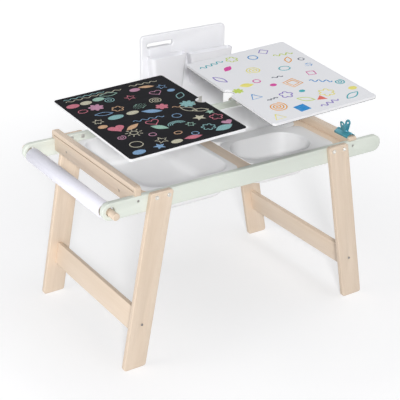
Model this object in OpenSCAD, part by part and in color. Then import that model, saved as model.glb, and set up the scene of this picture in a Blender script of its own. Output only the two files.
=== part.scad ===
// Activity table for small children: a frame of two painted side rails on four
// splayed plank legs, three storage bins sunk between the rails, two lift-off
// writing-board lids, a paper roll on a rod, a spring clip for the paper and a
// storage panel that hooks over the back rail.
// +X is to the right along the rails, +Y to the back, +Z up, and the origin is
// on the floor at the middle of the table.

/* [Rails] */
// Length of a side rail with its round ends
rail_l = 1000; // [920:5:1200]
// Height of a side rail
rail_h = 53.2; // [48:0.2:70]
// Thickness of a side rail
rail_t = 18; // [15:0.5:22]
// Height of the rails' top edge above the floor
rail_top = 548.4; // [480:0.2:640]
// Clear width between the two rails
inner_w = 484.8; // [478:0.2:520]

/* [Legs] */
// Width of a leg, measured level
leg_w = 74.7; // [60:0.1:90]
// Thickness of a leg and of a stretcher
leg_t = 16; // [12:0.5:20]
// Distance of a leg's middle from the rail's end at the rails' top
leg_in = 183.3; // [170:0.1:215]
// Outward slope of the legs
leg_splay = 10.3; // [4:0.1:14]
// How far a front leg stands up past the rail
leg_rise = 5; // [2:0.5:15]
// How far a back leg ends below the rail's top
back_leg_down = 2; // [0:0.5:5]
// Radius of a leg's corners
leg_r = 9; // [4:0.5:16]
// Height of a stretcher's middle above the floor
stretcher_z = 140; // [90:1:260]
// Height of a stretcher, measured along the leg
stretcher_h = 74.7; // [50:0.1:90]

/* [End boards] */
// Thickness of the left end board, which has the paper slit
left_t = 19.5; // [15:0.5:26]
// Thickness of the right end board, over which the paper runs
right_t = 28.5; // [20:0.5:34]
// Distance of the left end board's outer face from the rails' ends
left_end = 104.5; // [100:0.5:120]
// Distance of the right end board's outer face from the rails' ends
right_end = 98.5; // [60:0.5:115]
// Height of the left end board's top above the rails' top
left_rise = 27.6; // [20:0.2:27.6]
// Height of the right end board's top above the rails' top
right_rise = 12.6; // [10:0.2:20]
// Depth of both end boards below the rails' top
board_drop = 37.9; // [34:0.1:45]
// How far an end board's ears lie in from the rails' outer faces
ear_in = 1.4; // [0:0.1:4]
// Radius of the left end board's upper corners
left_r = 10; // [4:0.5:14]
// Radius of the right end board's upper corners
right_r = 6; // [3:0.5:8]
// Height of the paper slit
slit_h = 3; // [2:0.5:5]
// Wood left beside each end of the paper slit
slit_side = 9; // [6:0.5:40]
// Distance of the slit's middle from the rails' top
slit_up = 11.6; // [6:0.2:16]

/* [Supports] */
// Thickness of the ledges and the crossbar
bar_t = 12; // [9:0.5:15]
// Depth of their top faces below the rails' top
bar_drop = 10.9; // [10.9:0.1:12]
// Width of the ledge on the left end board
left_ledge_w = 41; // [32:0.5:41]
// Width of the ledge on the right end board
right_ledge_w = 43; // [34:0.5:43]
// Gap between a ledge's end and the rail
ledge_gap = 2.4; // [1.8:0.1:6]
// Width of the crossbar
bar_w = 55.6; // [50:0.2:60]
// Distance of the crossbar's middle to the left of the table's middle
bar_left = 3.2; // [0:0.1:8]

/* [Bins] */
// Thickness of the bins' rims
rim_t = 2.5; // [1.5:0.1:2.5]
// Wall of the bins
bin_wall = 2.2; // [1.6:0.1:2.2]
// Depth of the bins below their rims' top
bin_depth = 96; // [70:1:120]
// Gap between the rims' front edge and the front rail
rim_front = 7.4; // [4:0.1:20]
// Gap between the rims' back edge and the back rail, where the hooks hang
rim_back = 34.4; // [24:0.1:60]
// How far in front of the table's middle the two right bins meet
rim_split = 38.5; // [20:0.5:60]
// Gap between the left bin's rim and the left end board
rim_left = 30; // [22:0.5:34]
// Gap between the right bins' rims and the right end board
rim_right = 32; // [22:0.5:36]
// How far the left bin's rim lies on the crossbar
left_lap = 10.5; // [6:0.5:20]
// How far the right bins' rims lie on the crossbar
right_lap = 2.6; // [1.5:0.1:4]
// Radius of the rims' corners
rim_r = 30; // [15:1:40]
// Flat width of the left bin's rim beside the crossbar
left_flat = 17.5; // [15:0.5:30]
// Flat width of a deep bin's rim at its front
front_flat = 13; // [10:0.5:30]
// Flat width of a deep bin's rim at its back
back_flat = 8; // [6:0.5:20]
// Flat width of the back bin's rim towards the round tray
split_flat = 38.5; // [20:0.5:60]
// Flat width of the round tray's rim at its right
tray_shelf = 50; // [20:1:80]
// Flat width of the round tray's rim at its front
tray_front = 18; // [12:0.5:30]
// Flat width of the round tray's rim at its back
tray_back = 14.2; // [10:0.1:30]
// Radius of the deep bins' upright corners
well_r = 58; // [30:1:70]
// Radius of the round tray's upright corners
tray_r = 78; // [50:1:80]

/* [Lids] */
// Thickness of a lid's core
core_t = 6.4; // [5:0.1:9]
// Thickness of a writing sheet
sheet_t = 1; // [0.6:0.1:1.5]
// Radius of a lid's corners
lid_r = 9; // [4:0.5:20]
// Radius of the finger notch in a lid's inner edge
notch_r = 20; // [12:0.5:26]
// Gap at the left end board that lets the left lid in
left_gap = 24.5; // [24.5:0.1:26]
// Gap at the right end board beside the right lid
right_gap = 2.4; // [1.5:0.1:3]
// Gap between the two seated lids
middle_gap = 2.1; // [2:0.1:6]
// Gap between a seated lid and the front rail
lid_front = 7.4; // [7:0.1:10]
// Gap between a seated lid and the back rail
lid_back = 4.4; // [4:0.1:8]

/* [Raised lids] */
// Angle by which the left lid has turned from its seat
left_turn = 3.52; // [2:0.01:5]
// Direction of the axis of that turn
left_dir = [0.32, -0.819, -0.476];
// Level shift of the left lid's middle from its seat
left_shift = [-124, -161];
// Angle by which the right lid has turned from its seat
right_turn = 5.53; // [4:0.01:7]
// Direction of the axis of that turn
right_dir = [0.779, -0.555, -0.293];
// Level shift of the right lid's middle from its seat
right_shift = [-52, -192];

/* [Paper roll] */
// Radius of the wooden rod
rod_r = 11; // [8:0.5:13]
// Radius of the holes that the rod rests in
rod_hole_r = 14; // [13.4:0.1:16]
// How far the rod sticks out past a rail
rod_out = 31.6; // [10:0.2:50]
// Inner radius of the cardboard core
tube_r = 17.5; // [15:0.1:18]
// Wall of the cardboard core
tube_wall = 1.5; // [1:0.1:2.5]
// Radius of the wound paper
paper_r = 24; // [21:0.5:40]
// Gap between the paper and each rail
paper_gap = 12.4; // [8:0.2:30]
// Side shift of the roll on its rod
roll_y = 6; // [-7:0.5:7]

/* [Storage panel] */
// Width of the panel
panel_w = 320.5; // [290:0.5:400]
// Distance of the panel's left edge to the left of the table's middle
panel_left = 68.5; // [40:0.5:120]
// How far the panel reaches down below the rails' top
panel_down = 46.4; // [30:0.2:110]
// How far the panel reaches up above the rails' top
panel_up = 270.6; // [250:0.2:360]
// Thickness of the panel
panel_t = 14.5; // [8:0.5:18]
// Radius of the panel's corners
panel_r = 13; // [8:1:30]
// Width of a slot that a holder hangs in
slot_w = 98; // [80:1:100]
// Height of a slot
slot_h = 17; // [15.5:0.5:20]
// Distance of the cup's slot from the panel's left edge
cup_slot_in = 20.5; // [12:0.5:30]
// Distance of the box's slot from the panel's right edge
box_slot_in = 24; // [14:0.5:40]
// Depth of the cup slot's lower edge below the panel's top
cup_slot_down = 43; // [32:0.5:60]
// Depth of the box slot's lower edge below the panel's top
box_slot_down = 119; // [100:1:130]
// Depth of the recess in the back rail for the hooks
recess_d = 6; // [4:0.5:8]
// How far the recess reaches past the panel's left and right edges
recess_side = 23.5; // [5:0.5:40]
// Distance of the first hook's middle from the panel's left edge
hook_in = 108.5; // [90:0.5:120]
// Distance between the middles of the two hooks
hook_pitch = 110; // [60:1:130]
// Width of a hook
hook_w = 24; // [16:1:26]
// Thickness of a hook
hook_t = 3; // [2:0.1:3.2]
// How far a hook reaches down inside the rail
hook_drop = 22; // [12:1:30]
// Height of a hook's plate on the panel
hook_plate = 38; // [28:1:60]

/* [Holders] */
// Distance of the cup's mouth from the panel's left edge
cup_in = 18.5; // [6:0.5:24]
// Depth of the cup's mouth below its slot
cup_down = 25; // [10:0.5:30]
// Height of the cup
cup_h = 112; // [90:1:130]
// How far the cup stands out at the mouth
cup_out = 38; // [30:1:60]
// Radius of the cup's front corners
cup_r = 18; // [8:1:24]
// Gap between the cup and the box
holder_gap = 16; // [2:0.5:24]
// Width of the box's mouth
box_w = 166; // [140:1:170]
// How far the box stands out past the panel's right edge
box_past = 14; // [0:0.5:15]
// Height of the box's mouth above the lower edge of its slot
box_up = 42; // [35:1:60]
// Height of the box
box_h = 105; // [90:1:130]
// How far the box stands out at the mouth
box_out = 29; // [24:1:60]
// Radius of the box's front corners
box_r = 8; // [4:0.5:12]
// How far a holder's sides draw in towards its floor
holder_taper = 14; // [6:1:20]
// Wall of a holder
holder_wall = 2.4; // [1.6:0.1:3]
// Thickness of the tongue that hangs in the slot
tongue_t = 2; // [2:0.1:3]
// How far the tongue drops behind the panel
tongue_drop = 10; // [6:0.5:11]

/* [Clip] */
// Width of the clip's jaws
clip_w = 63; // [50:1:90]
// Distance of the clip's middle from the front rail
clip_in = 26; // [24:0.2:300]
// Height of the clip's pin above the board's top
clip_up = 8; // [7:0.5:18]
// Thickness of the sheet metal
clip_t = 1.2; // [0.8:0.1:1.5]
// How far the jaws reach down over the board
clip_grip = 5; // [3:0.5:8]
// Width of a handle
handle_w = 24; // [16:1:30]
// Height of a handle above the pin
handle_h = 34; // [24:0.5:36]
// Distance of a handle's top from the clip's middle
handle_out = 14; // [8:0.5:16]
// Radius of the hole in a handle
handle_hole_r = 3.2; // [2:0.1:6]
// Radius of the clip's pin
pin_r = 1.5; // [1.2:0.1:1.8]

/* [Fasteners] */
// Distance between the two bolts of a leg
bolt_pitch = 40; // [30:1:48]
// Depth of the bolts below the rails' top
bolt_drop = 9.8; // [9:0.2:20]
// Radius of a bolt's shank
bolt_r = 3; // [2.5:0.1:3.5]
// Radius of a bolt's head
bolt_head_r = 6; // [5:0.1:8]
// Height of a bolt's head
bolt_head_h = 4; // [2:0.1:5]
// Radius of the flange of a sleeve nut
nut_r = 7; // [5.5:0.1:8]
// Thickness of that flange
nut_t = 1.2; // [0.8:0.1:1.2]
// Length of the sleeve in the rail
sleeve_l = 10; // [6:0.5:13]
// Radius of a screw's shank
screw_r = 2; // [1.5:0.1:2.2]
// Radius of a screw's head
screw_head_r = 3.8; // [3:0.1:4.5]
// Height of a screw's head
screw_head_h = 2.2; // [1.5:0.1:3]
// Depth of a screw's sinking
sink_d = 3.4; // [3:0.1:5]
// Length that the stretcher and board screws bite into the wood they hold
screw_bite = 30; // [20:1:40]
// Length that the ledge screws bite into the ledges
ledge_bite = 20; // [15:0.5:30]
// Height of the stretcher screws above the stretchers' middles
stretcher_screw_up = 3.8; // [-15:0.2:15]
// Depth of the board screws below the rails' top
board_screw_drop = 15.4; // [10:0.2:28]
// Distance of the ledge screws from the rails
ledge_screw_in = 77.4; // [30:0.2:160]
// Radius of the crossbar's pins
peg_r = 4; // [3:0.1:5]
// Length of such a pin in the crossbar
peg_in = 16; // [8:1:24]
// Length of such a pin in the rail
peg_out = 11; // [6:0.5:13]

/* [Clearances] */
// Gap between pieces that move and what they rest on
seat_gap = 0.3; // [0.2:0.05:0.3]
// Gap around a shank or pin in its hole
hole_gap = 0.1; // [0.05:0.01:0.2]

/* [Hidden] */
$fn = 64;

paint = [0.86, 0.88, 0.84];
birch = [0.87, 0.79, 0.69];
plastic = [0.93, 0.93, 0.95];
steel = [0.72, 0.73, 0.75];
teal = [0.1, 0.45, 0.5];

// Faces and middles that several pieces share
rail_in = inner_w / 2;
rail_out = rail_in + rail_t;
rail_z = rail_top - rail_h / 2;
leg_x = rail_l / 2 - leg_in;
leg_out = rail_out + leg_t;
left_in = rail_l / 2 - left_end - left_t;
right_in = rail_l / 2 - right_end - right_t;
stretcher_screw_z = stretcher_z + stretcher_screw_up;
ledge_screw_y = rail_in - ledge_screw_in;
bar_x0 = -bar_left - bar_w / 2;
bar_x1 = -bar_left + bar_w / 2;
bar_top = rail_top - bar_drop;
bar_z = bar_top - bar_t / 2;
rim_top = bar_top + rim_t;
rim_y0 = -rail_in + rim_front;
rim_y1 = rail_in - rim_back;
left_rim = [-left_in + rim_left, bar_x0 + left_lap];
right_rim = [bar_x1 - right_lap, right_in - rim_right];
lid_w = (left_in + right_in - left_gap - middle_gap - right_gap) / 2;
lid_d = inner_w - lid_front - lid_back;
lid_y = (lid_front - lid_back) / 2;
lid_t = core_t + 2 * sheet_t;
lid_z = rim_top + seat_gap + lid_t / 2;
left_lid_x = -left_in + left_gap + lid_w / 2;
right_lid_x = right_in - right_gap - lid_w / 2;
board_left_x = -left_in - left_t / 2;
board_right_x = right_in + right_t / 2;
rod_x = (rail_l - rail_h) / 2;
rod_z = rail_z - rod_hole_r + rod_r + seat_gap;
roll_z = rod_z + rod_r + seat_gap - tube_r;
paper_w = inner_w - 2 * paper_gap;
panel_y = rail_out + seat_gap;
panel_x0 = -panel_left;
panel_x1 = panel_x0 + panel_w;
panel_z0 = rail_top - panel_down;
panel_z1 = rail_top + panel_up;
slot_x = [panel_x0 + cup_slot_in + slot_w / 2, panel_x1 - box_slot_in - slot_w / 2];
slot_z = [panel_z1 - cup_slot_down, panel_z1 - box_slot_down];
recess_x = [panel_x0 - recess_side, panel_x1 + recess_side];
hook_x = [panel_x0 + hook_in, panel_x0 + hook_in + hook_pitch];
box_x = [panel_x1 + box_past - box_w, panel_x1 + box_past];
box_top = slot_z[1] + box_up;
cup_x = [panel_x0 + cup_in, box_x[0] - holder_gap];
cup_top = slot_z[0] - cup_down;
hook_z = rail_top - recess_d + seat_gap;
clip_x = board_right_x;
clip_y = -rail_in + clip_in;
clip_z = rail_top + right_rise + clip_up;
bolt_z = rail_top - bolt_drop;
cut = 1;

function unit(v) = v / norm(v);
function leg_mid(z) = leg_x + (rail_top - z) * tan(leg_splay);

// Middle shift of a raised lid: the level shift with the rise that keeps it
// square to the axis of the turn
function rise(dir, shift) =
    [shift[0], shift[1], -(dir[0] * shift[0] + dir[1] * shift[1]) / dir[2]];

// A point on the axis about which a lid turns from its seat to its raised place
function axis_point(seat, dir, shift, turn) =
    seat + rise(dir, shift) / 2 + cross(unit(dir), rise(dir, shift)) / (2 * tan(turn / 2));

// Both axis points, for whoever sets up the joints
echo(left_axis = axis_point([left_lid_x, lid_y, lid_z], left_dir, left_shift, left_turn));
echo(right_axis = axis_point([right_lid_x, lid_y, lid_z], right_dir, right_shift, right_turn));

// Rectangle with round corners about the origin
module round_rect(w, d, r) {
    square([w - 2 * r, d], center = true);
    square([w, d - 2 * r], center = true);
    for (sx = [-1, 1])
        for (sy = [-1, 1])
            translate([sx * (w / 2 - r), sy * (d / 2 - r)])
                circle(r);
}

// Rod along Y from y0 to y1, whichever is larger
module rod_y(x, z, r, y0, y1) {
    translate([x, min(y0, y1), z])
        rotate([-90, 0, 0])
            cylinder(r = r, h = abs(y1 - y0));
}

// Rod along X from x0 to x1, whichever is larger
module rod_x_dir(y, z, r, x0, x1) {
    translate([min(x0, x1), y, z])
        rotate([0, 90, 0])
            cylinder(r = r, h = abs(x1 - x0));
}

// Outline in X and Z, extruded along Y from y0 to y1
module extrude_y(y0, y1) {
    translate([0, max(y0, y1), 0])
        rotate([90, 0, 0])
            linear_extrude(abs(y1 - y0))
                children();
}

// ---- Rails ----

module rail(side) {
    difference() {
        extrude_y(side * rail_in, side * rail_out) {
            translate([0, rail_z])
                square([rail_l - rail_h, rail_h], center = true);
            for (s = [-1, 1])
                translate([s * (rail_l - rail_h) / 2, rail_z])
                    circle(rail_h / 2);
        }
        rod_y(-rod_x, rail_z, rod_hole_r, side * (rail_in - cut), side * (rail_out + cut));
        for (s = [-1, 1]) {
            for (b = [-1, 1])
                bolt_hole(s * leg_x + b * bolt_pitch / 2, side);
            board_screw_hole(s < 0 ? board_left_x : board_right_x, side);
        }
        for (x = peg_x())
            rod_y(x, bar_z, peg_r + hole_gap, side * (rail_in - cut), side * (rail_in + peg_out));
    }
}

module bolt_hole(x, side) {
    rod_y(x, bolt_z, bolt_r + 2 * hole_gap, side * (rail_in - cut), side * (rail_out + cut));
    rod_y(x, bolt_z, sleeve_r() + hole_gap, side * (rail_in - cut), side * (rail_in + sleeve_l));
}

module board_screw_hole(x, side) {
    z = rail_top - board_screw_drop;
    rod_y(x, z, screw_r + hole_gap, side * (rail_in - cut), side * (rail_out + cut));
    rod_y(x, z, screw_head_r + hole_gap, side * (rail_out - sink_d), side * (rail_out + cut));
}

function sleeve_r() = bolt_r + 1.2;
function peg_x() = [for (s = [-1, 1]) (bar_x0 + bar_x1) / 2 + s * (bar_x1 - bar_x0) / 4];

module rail_front() {
    color(paint) rail(-1);
}

module rail_back() {
    color(paint)
        difference() {
            rail(1);
            hook_recess();
        }
}

// Shallow cut in the back rail's top for the panel's hooks
module hook_recess() {
    r = recess_d - cut;
    extrude_y(rail_in - cut, rail_out + cut) {
        translate([recess_x[0], rail_top - recess_d + r])
            square([recess_x[1] - recess_x[0], 2 * recess_d]);
        translate([recess_x[0] + r, rail_top - recess_d])
            square([recess_x[1] - recess_x[0] - 2 * r, recess_d]);
        for (x = [recess_x[0] + r, recess_x[1] - r])
            translate([x, rail_top - recess_d + r])
                circle(r);
    }
}

// ---- Legs and stretchers ----

// Plank in the leg's plane: s is the end of the table, side the rail it is on
module leg(s, side) {
    difference() {
        extrude_y(side * rail_out, side * leg_out)
            leg_outline(s, rail_top + (side < 0 ? leg_rise : -back_leg_down));
        for (b = [-1, 1])
            rod_y(s * leg_x + b * bolt_pitch / 2, bolt_z, bolt_r + 2 * hole_gap,
                  side * (rail_out - cut), side * (leg_out + cut));
        rod_y(s * leg_mid(stretcher_screw_z), stretcher_screw_z, screw_r + hole_gap,
              side * (rail_out - cut), side * (leg_out + cut));
    }
}

// Slanted plank cut level at the floor and at its top, with round corners
module leg_outline(s, top) {
    upper = [leg_mid(top) - leg_w / 2, leg_mid(top) + leg_w / 2];
    lower = [leg_mid(0) - leg_w / 2, leg_mid(0) + leg_w / 2];
    // How far a rounding reaches along the edges of a sharp and of a blunt corner
    sharp = leg_r / tan((90 - leg_splay) / 2);
    blunt = leg_r / tan((90 + leg_splay) / 2);
    along = [sin(leg_splay), -cos(leg_splay)];
    scale([s, 1]) {
        polygon([
            [lower[0] + blunt, 0], [lower[1] - sharp, 0],
            [lower[1], 0] - sharp * along, [upper[1], top] + blunt * along,
            [upper[1] - blunt, top], [upper[0] + sharp, top],
            [upper[0], top] + sharp * along, [lower[0], 0] - blunt * along
        ]);
        for (c = [[upper[1] - blunt, top - leg_r], [upper[0] + sharp, top - leg_r],
                  [lower[1] - sharp, leg_r], [lower[0] + blunt, leg_r]])
            translate(c)
                circle(leg_r);
    }
}

module stretcher(s) {
    difference() {
        translate([s * leg_mid(stretcher_z), 0, stretcher_z])
            rotate([0, -s * leg_splay, 0])
                cube([leg_t, 2 * rail_out, stretcher_h], center = true);
        for (side = [-1, 1])
            rod_y(s * leg_mid(stretcher_screw_z), stretcher_screw_z, screw_r + hole_gap,
                  side * (rail_out - screw_bite - cut), side * (rail_out + cut));
    }
}

module leg_front_left() { color(birch) leg(-1, -1); }
module leg_front_right() { color(birch) leg(1, -1); }
module leg_back_left() { color(birch) leg(-1, 1); }
module leg_back_right() { color(birch) leg(1, 1); }
module stretcher_left() { color(birch) stretcher(-1); }
module stretcher_right() { color(birch) stretcher(1); }

// ---- End boards, ledges and crossbar ----

// Board between the rails whose ears lie on their top edges, drawn in Y and Z
module board(x0, t, up, r) {
    ear_y = rail_out - ear_in;
    translate([x0, 0, 0])
        rotate([90, 0, 90])
            linear_extrude(t) {
                translate([-rail_in, rail_top - board_drop])
                    square([2 * rail_in, board_drop + up - r]);
                translate([-ear_y, rail_top])
                    square([2 * ear_y, up - r]);
                translate([-ear_y + r, rail_top])
                    square([2 * ear_y - 2 * r, up]);
                for (s = [-1, 1])
                    translate([s * (ear_y - r), rail_top + up - r])
                        circle(r);
            }
}

module end_board_left() {
    x0 = -left_in - left_t;
    color(birch)
        difference() {
            board(x0, left_t, left_rise, left_r);
            translate([x0 - cut, -rail_out + ear_in + slit_side, rail_top + slit_up - slit_h / 2])
                cube([left_t + 2 * cut, 2 * (rail_out - ear_in - slit_side), slit_h]);
            board_holes(-1, left_in, left_t, board_left_x);
        }
}

module end_board_right() {
    color(birch)
        difference() {
            board(right_in, right_t, right_rise, right_r);
            board_holes(1, right_in, right_t, board_right_x);
        }
}

// Holes of the screws that hold a board to the rails and to its ledge
module board_holes(s, inner, t, mid) {
    for (side = [-1, 1]) {
        rod_y(mid, rail_top - board_screw_drop, screw_r + hole_gap,
              side * (rail_in - screw_bite - cut), side * (rail_in + cut));
        rod_x_dir(side * ledge_screw_y, bar_z, screw_r + hole_gap,
                  s * (inner - cut), s * (inner + t + cut));
        rod_x_dir(side * ledge_screw_y, bar_z, screw_head_r + hole_gap,
                  s * (inner + t - sink_d), s * (inner + t + cut));
    }
}

module ledge(s, inner, w) {
    color(birch)
        difference() {
            translate([s > 0 ? inner - w : -inner, -rail_in + ledge_gap, bar_top - bar_t])
                cube([w, 2 * (rail_in - ledge_gap), bar_t]);
            for (side = [-1, 1])
                rod_x_dir(side * ledge_screw_y, bar_z, screw_r + hole_gap,
                          s * (inner + cut), s * (inner - ledge_bite - cut));
        }
}

module ledge_left() { ledge(-1, left_in, left_ledge_w); }
module ledge_right() { ledge(1, right_in, right_ledge_w); }

module crossbar() {
    color(birch)
        difference() {
            translate([bar_x0, -rail_in, bar_top - bar_t])
                cube([bar_x1 - bar_x0, 2 * rail_in, bar_t]);
            for (x = peg_x())
                for (side = [-1, 1])
                    rod_y(x, bar_z, peg_r + hole_gap, side * (rail_in - peg_in), side * (rail_in + cut));
        }
}

// ---- Bins ----

// Bin with a flat rim; well is its inner hollow as [x0, x1, y0, y1]
module bin(rim_x, rim_y, well, rc) {
    w = well[1] - well[0];
    d = well[3] - well[2];
    r = min(rc, w / 2 - cut, d / 2 - cut);
    mid = [(well[0] + well[1]) / 2, (well[2] + well[3]) / 2];
    color(plastic)
        difference() {
            union() {
                translate([(rim_x[0] + rim_x[1]) / 2, (rim_y[0] + rim_y[1]) / 2, rim_top - rim_t])
                    linear_extrude(rim_t)
                        round_rect(rim_x[1] - rim_x[0], rim_y[1] - rim_y[0], rim_r);
                translate([mid[0], mid[1], rim_top - bin_depth])
                    linear_extrude(bin_depth - rim_t / 2)
                        round_rect(w + 2 * bin_wall, d + 2 * bin_wall, r + bin_wall);
            }
            translate([mid[0], mid[1], rim_top - bin_depth + bin_wall])
                linear_extrude(bin_depth)
                    round_rect(w, d, r);
        }
}

// Where the wells start beside the ledges and the crossbar
well_in = bin_wall + seat_gap;
left_well_x = -left_in + left_ledge_w + well_in;
right_well_x = [bar_x1 + well_in, right_in - right_ledge_w - well_in];

module bin_left() {
    bin(left_rim, [rim_y0, rim_y1],
        [left_well_x, left_rim[1] - left_flat, rim_y0 + front_flat, rim_y1 - back_flat], well_r);
}

module bin_front_right() {
    bin(right_rim, [rim_y0, -rim_split - seat_gap],
        [right_well_x[0], right_rim[1] - tray_shelf, rim_y0 + tray_front,
         -rim_split - seat_gap - tray_back], tray_r);
}

module bin_back_right() {
    bin(right_rim, [-rim_split, rim_y1],
        [right_well_x[0], right_well_x[1], split_flat - rim_split, rim_y1 - back_flat], well_r);
}

// ---- Lids ----

// Flat lid piece from z0 to z1 about the lid's middle, its notch towards side s
module lid_slab(s, z0, z1) {
    translate([0, 0, z0])
        linear_extrude(z1 - z0)
            difference() {
                round_rect(lid_w, lid_d, lid_r);
                translate([s * lid_w / 2, 0])
                    circle(notch_r);
            }
}

// Carries a lid from its seat to its raised place by one turn about a far axis
module raised(seat, dir, shift, turn) {
    p = axis_point(seat, dir, shift, turn);
    translate(p)
        rotate(a = turn, v = dir)
            translate(seat - p)
                children();
}

module left_lid_place() {
    raised([left_lid_x, lid_y, lid_z], left_dir, left_shift, left_turn) children();
}

module right_lid_place() {
    raised([right_lid_x, lid_y, lid_z], right_dir, right_shift, right_turn) children();
}

module lid_left_core() { color("white") left_lid_place() lid_slab(1, -core_t / 2, core_t / 2); }
module lid_left_chalk_sheet() { color("black") left_lid_place() lid_slab(1, core_t / 2, lid_t / 2); }
module lid_left_white_sheet() { color("white") left_lid_place() lid_slab(1, -lid_t / 2, -core_t / 2); }
module lid_right_core() { color("white") right_lid_place() lid_slab(-1, -core_t / 2, core_t / 2); }
module lid_right_white_sheet() { color("white") right_lid_place() lid_slab(-1, core_t / 2, lid_t / 2); }
module lid_right_chalk_sheet() { color("black") right_lid_place() lid_slab(-1, -lid_t / 2, -core_t / 2); }

// ---- Paper roll ----

module ring_y(r_out, r_in, w) {
    difference() {
        rod_y(-rod_x, roll_z, r_out, roll_y - w / 2, roll_y + w / 2);
        rod_y(-rod_x, roll_z, r_in, roll_y - w / 2 - cut, roll_y + w / 2 + cut);
    }
}

module roll_paper() { color("white") ring_y(paper_r, tube_r + tube_wall, paper_w); }
module roll_core() { color("tan") ring_y(tube_r + tube_wall, tube_r, paper_w); }
module roll_rod() {
    color(birch)
        rod_y(-rod_x, rod_z, rod_r, -rail_out - rod_out, rail_out + rod_out);
}

// ---- Storage panel ----

// Slot with round ends, from its lower edge up
module slot_outline(i) {
    r = slot_h / 2;
    translate([slot_x[i] - slot_w / 2 + r, slot_z[i]])
        square([slot_w - slot_h, slot_h]);
    for (s = [-1, 1])
        translate([slot_x[i] + s * (slot_w / 2 - r), slot_z[i] + r])
            circle(r);
}

module storage_panel() {
    color(plastic)
        difference() {
            extrude_y(panel_y, panel_y + panel_t)
                difference() {
                    translate([(panel_x0 + panel_x1) / 2, (panel_z0 + panel_z1) / 2])
                        round_rect(panel_x1 - panel_x0, panel_z1 - panel_z0, panel_r);
                    for (i = [0, 1])
                        slot_outline(i);
                }
            for (x = hook_x)
                for (z = hook_screw_z())
                    rod_y(x, z, screw_r + hole_gap, panel_y - cut, panel_y + hook_screw_l() + 0.5);
        }
}

function hook_screw_z() = [for (f = [0.4, 0.8]) hook_z + f * hook_plate];
function hook_screw_l() = panel_t - 3;

module panel_hooks() {
    color(steel)
        for (x = hook_x)
            difference() {
                translate([x - hook_w / 2, 0, 0]) {
                    translate([0, panel_y - hook_t, hook_z])
                        cube([hook_w, hook_t, hook_plate]);
                    translate([0, rail_in - seat_gap - hook_t, hook_z])
                        cube([hook_w, panel_y - rail_in + seat_gap + hook_t, hook_t]);
                    translate([0, rail_in - seat_gap - hook_t, hook_z - hook_drop])
                        cube([hook_w, hook_t, hook_drop + hook_t]);
                }
                for (z = hook_screw_z())
                    rod_y(x, z, screw_r + hole_gap, panel_y - hook_t - cut, panel_y + cut);
            }
}

module hook_screws() {
    color(steel)
        for (x = hook_x)
            for (z = hook_screw_z())
                screw(x, z, panel_y - hook_t, 1, hook_screw_l() + hook_t);
}

// Screw along Y whose head stands on the face at y0; it points to side s
module screw(x, z, y0, s, l) {
    rod_y(x, z, screw_r, y0, y0 + s * l);
    difference() {
        rod_y(x, z, screw_head_r, y0, y0 - s * screw_head_h);
        for (a = [0, 90])
            translate([x, y0 - s * screw_head_h, z])
                rotate([0, a, 0])
                    cube([0.6 * 2 * screw_head_r, screw_head_h, 0.9], center = true);
    }
}

// Open holder in front of the panel with a tongue in slot i
module holder(i, xs, zs, out, corner_r) {
    r = min(corner_r, out / 2 - 4);
    w = xs[1] - xs[0];
    mid = (xs[0] + xs[1]) / 2;
    h = zs[1] - zs[0];
    back = panel_y - seat_gap;
    tongue_z = slot_z[i] + seat_gap;
    tongue_w = slot_w - slot_h - 2;
    difference() {
        holder_body(mid, back, zs[0], h, w, out, r);
        holder_body(mid, back - holder_wall, zs[0] + holder_wall, h, w - 2 * holder_wall,
                    out - 2 * holder_wall, r - holder_wall);
    }
    // Back plate that carries the tongue
    translate([slot_x[i] - tongue_w / 2, back - holder_wall, zs[0] + h / 2])
        cube([tongue_w, holder_wall, tongue_z + tongue_t - zs[0] - h / 2]);
    translate([slot_x[i] - tongue_w / 2, back - holder_wall, tongue_z])
        cube([tongue_w, holder_wall + seat_gap + panel_t + seat_gap + tongue_t, tongue_t]);
    translate([slot_x[i] - tongue_w / 2, panel_y + panel_t + seat_gap, tongue_z - tongue_drop])
        cube([tongue_w, tongue_t, tongue_drop + tongue_t]);
}

// Tapered block with round front corners, its mouth at z0 + h
module holder_body(mid, back, z0, h, w, out, r) {
    hull() {
        translate([mid, back, z0 + h])
            linear_extrude(0.01)
                holder_outline(w, out, r);
        translate([mid, back, z0])
            linear_extrude(0.01)
                holder_outline(w - 2 * holder_taper, out - 6, r - 3);
    }
}

// Outline with a straight back at y = 0 and round corners at its front
module holder_outline(w, out, r) {
    hull() {
        translate([-w / 2, -1])
            square([w, 1]);
        for (s = [-1, 1])
            translate([s * (w / 2 - r), -out + r])
                circle(r, $fn = 32);
    }
}

module storage_cup() {
    color(plastic) holder(0, cup_x, [cup_top - cup_h, cup_top], cup_out, cup_r);
}

module storage_box() {
    color(plastic) holder(1, box_x, [box_top - box_h, box_top], box_out, box_r);
}

// ---- Clip ----

// Half of the clip, drawn for the outer side; s mirrors it for the inner side.
// face is how far the board's face lies from the clip's middle, and spans are
// its barrel pieces round the pin as [from, to] along the jaw's width
module clip_jaw(s, face, spans) {
    top = rail_top + right_rise;
    bend = [knuckle_r() + 1.4, clip_z - 1.2];
    lip = face + clip_t / 2;
    difference() {
        extrude_y(clip_y - clip_w / 2, clip_y + clip_w / 2)
            translate([clip_x, 0])
                scale([s, 1])
                    strip([[lip, top - clip_grip], [lip, top + 1], bend,
                           [handle_out, clip_z + handle_h]], clip_t);
        // What lies beside the handle, and the handle's hole
        translate([clip_x - clip_w / 2, clip_y, clip_z])
            rotate([90, 0, 90])
                linear_extrude(clip_w)
                    handle_waste();
    }
    for (k = spans)
        extrude_y(clip_y + k[0], clip_y + k[1])
            translate([clip_x, 0])
                scale([s, 1]) {
                    strip([[0, clip_z], bend], clip_t);
                    translate([0, clip_z])
                        circle(knuckle_r());
                }
}

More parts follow.
